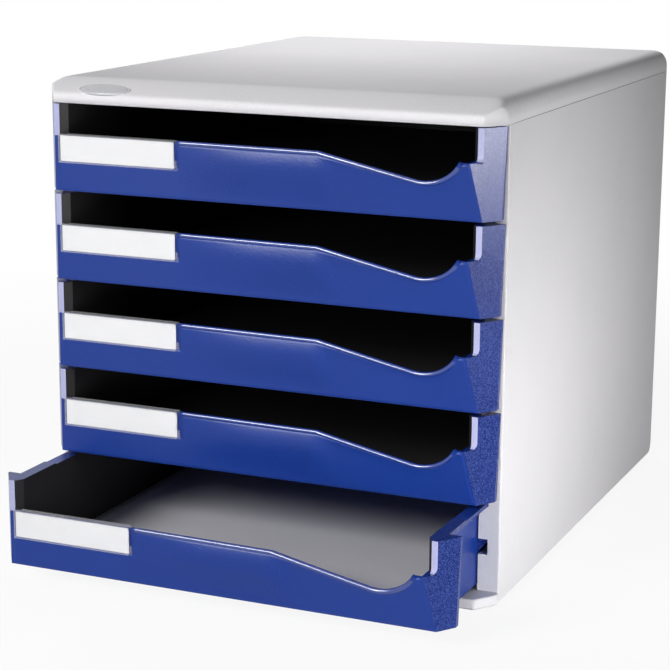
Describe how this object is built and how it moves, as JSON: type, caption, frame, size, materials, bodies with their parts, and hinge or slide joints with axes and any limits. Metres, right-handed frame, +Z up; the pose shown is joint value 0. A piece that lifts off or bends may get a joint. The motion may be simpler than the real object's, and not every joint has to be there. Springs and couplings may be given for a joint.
{
  "type": "desktop drawer organizer",
  "caption": "Desktop drawer organizer: a light grey housing with slanted front corners and blue pull-out trays, the lowest standing open.",
  "frame": {"origin": "centre of the housing's footprint, on the surface that the feet stand on", "axes": "+X to the right seen from the front, +Y from the drawer fronts to the back, +Z up"},
  "size_m": [0.285, 0.4237, 0.29],
  "materials": {
    "light_grey_plastic": "fine satin moulded polystyrene, light grey",
    "badge_plastic": "smooth blank plate, light grey",
    "blue_plastic": "satin moulded polystyrene, deep blue",
    "clear_plastic": "clear moulded sleeve",
    "card": "plain white card",
    "grey_mat": "thin grey sheet with a fine grain",
    "foot_rubber": "soft dark grey rubber"
  },
  "bodies": {
    "housing": {"lid": "light_grey_plastic", "badge": "badge_plastic", "base_plate": "light_grey_plastic", "rubber_feet": "foot_rubber", "right_side_panel": "light_grey_plastic", "left_side_panel": "light_grey_plastic", "back_panel": "light_grey_plastic"},
    "drawer_1": {"drawer_1_tray": "blue_plastic", "drawer_1_label_holder": "clear_plastic", "drawer_1_label_card": "card", "drawer_1_mat": "grey_mat"},
    "drawer_2": {"drawer_2_tray": "blue_plastic", "drawer_2_label_holder": "clear_plastic", "drawer_2_label_card": "card", "drawer_2_mat": "grey_mat"},
    "drawer_3": {"drawer_3_tray": "blue_plastic", "drawer_3_label_holder": "clear_plastic", "drawer_3_label_card": "card", "drawer_3_mat": "grey_mat"},
    "drawer_4": {"drawer_4_tray": "blue_plastic", "drawer_4_label_holder": "clear_plastic", "drawer_4_label_card": "card", "drawer_4_mat": "grey_mat"},
    "drawer_5": {"drawer_5_tray": "blue_plastic", "drawer_5_label_holder": "clear_plastic", "drawer_5_label_card": "card", "drawer_5_mat": "grey_mat"}
  },
  "joints": [
    {"name": "drawer_1_slide", "type": "slide", "parent": "housing", "child": "drawer_1", "axis": [0, -1, 0], "range_m": [0, 0.25]},
    {"name": "drawer_2_slide", "type": "slide", "parent": "housing", "child": "drawer_2", "axis": [0, -1, 0], "range_m": [0, 0.25]},
    {"name": "drawer_3_slide", "type": "slide", "parent": "housing", "child": "drawer_3", "axis": [0, -1, 0], "range_m": [0, 0.25]},
    {"name": "drawer_4_slide", "type": "slide", "parent": "housing", "child": "drawer_4", "axis": [0, -1, 0], "range_m": [0, 0.25]},
    {"name": "drawer_5_slide", "type": "slide", "parent": "housing", "child": "drawer_5", "axis": [0, -1, 0], "range_m": [-0.06, 0.19]}
  ]
}
